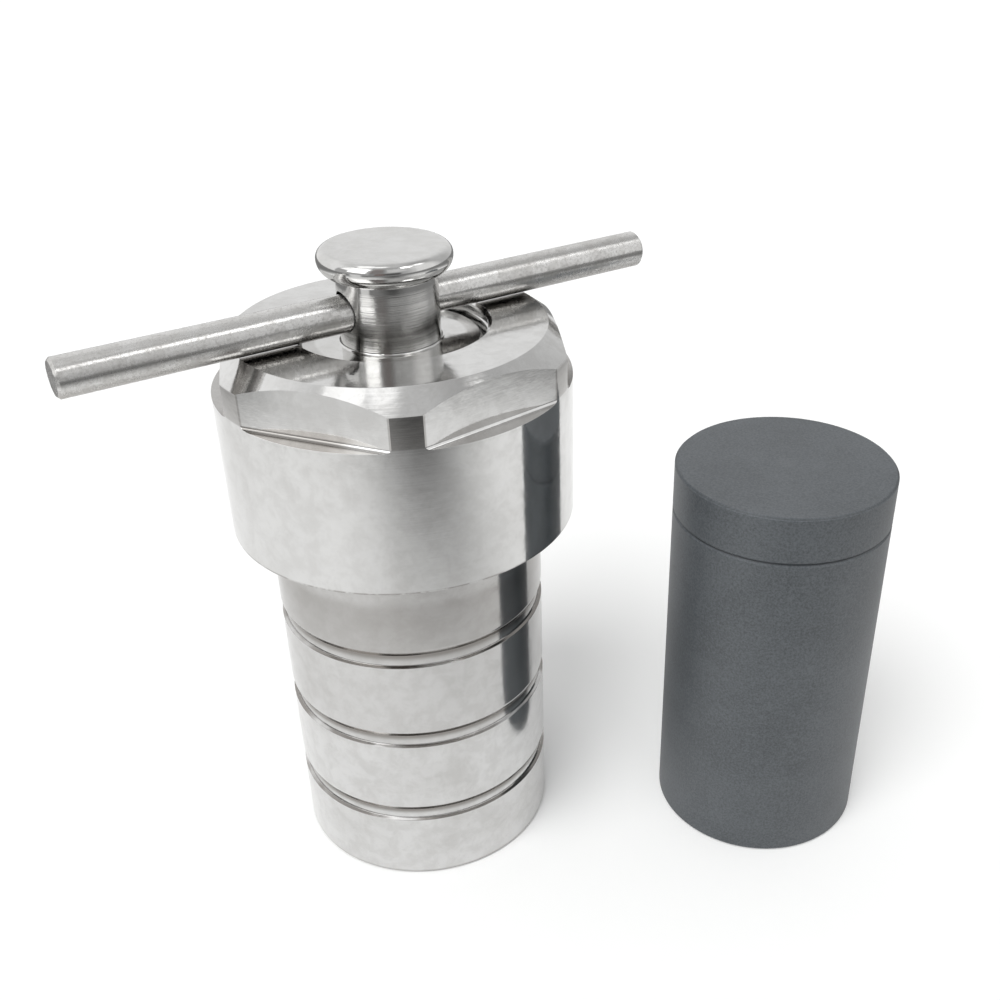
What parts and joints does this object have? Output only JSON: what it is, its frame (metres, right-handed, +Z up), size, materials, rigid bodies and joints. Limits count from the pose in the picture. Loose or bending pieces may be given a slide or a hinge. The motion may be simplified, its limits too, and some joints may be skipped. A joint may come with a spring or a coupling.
{
  "type": "hydrothermal reactor",
  "caption": "Stainless steel hydrothermal reactor with a grooved body, spanner-flat screw cap, press screw and tommy bar, beside its dark lidded liner.",
  "frame": {"origin": "centre of the ejector hole in the cup's underside, on the plane the reactor stands on", "axes": "+Z up along the reactor's axis; +X towards the liner, to the right of a viewer in front; +Y away from that viewer"},
  "size_m": [0.1585, 0.07, 0.1342],
  "materials": {
    "body_steel": "fine-turned stainless steel, slightly dull from oven use",
    "cap_steel": "turned and polished stainless steel",
    "screw_steel": "turned stainless steel, polished head",
    "bar_steel": "drawn stainless rod, satin, with nicks from use",
    "inner_steel": "plain turned stainless steel",
    "liner_resin": "matte dark grey high-temperature resin, finely speckled"
  },
  "bodies": {
    "shell": {"steel_cup": "body_steel", "bottom_pad": "inner_steel"},
    "cap": {"screw_cap": "cap_steel"},
    "plate": {"press_plate": "inner_steel"},
    "press_screw": {"press_screw": "screw_steel"},
    "bar": {"tommy_bar": "bar_steel"},
    "liner": {"liner_cup": "liner_resin"},
    "liner_lid": {"liner_lid": "liner_resin"}
  },
  "joints": [
    {"name": "cap_lift", "type": "slide", "parent": "shell", "child": "cap", "axis": [0, 0, 1], "range_m": [0, 0.13]},
    {"name": "press_advance", "type": "slide", "parent": "cap", "child": "plate", "axis": [0, 0, 1], "range_m": [0, 0.0025]},
    {"name": "press_turn", "type": "hinge", "parent": "plate", "child": "press_screw", "pos_m": [0, 0, 0.1], "axis": [0, 0, 1], "range_deg": [0, 450]},
    {"name": "bar_slide", "type": "slide", "parent": "press_screw", "child": "bar", "axis": [0.9018, 0.4321, 0], "range_m": [-0.075, 0.075]},
    {"name": "liner_lift", "type": "slide", "parent": "shell", "child": "liner", "axis": [0, 0, 1], "range_m": [0, 0.12]},
    {"name": "liner_lid_lift", "type": "slide", "parent": "liner", "child": "liner_lid", "axis": [0, 0, 1], "range_m": [0, 0.06]}
  ],
  "couplings": [
    {"joint": "press_advance", "follows": "press_turn", "m_per_rad": 0.00031831}
  ]
}
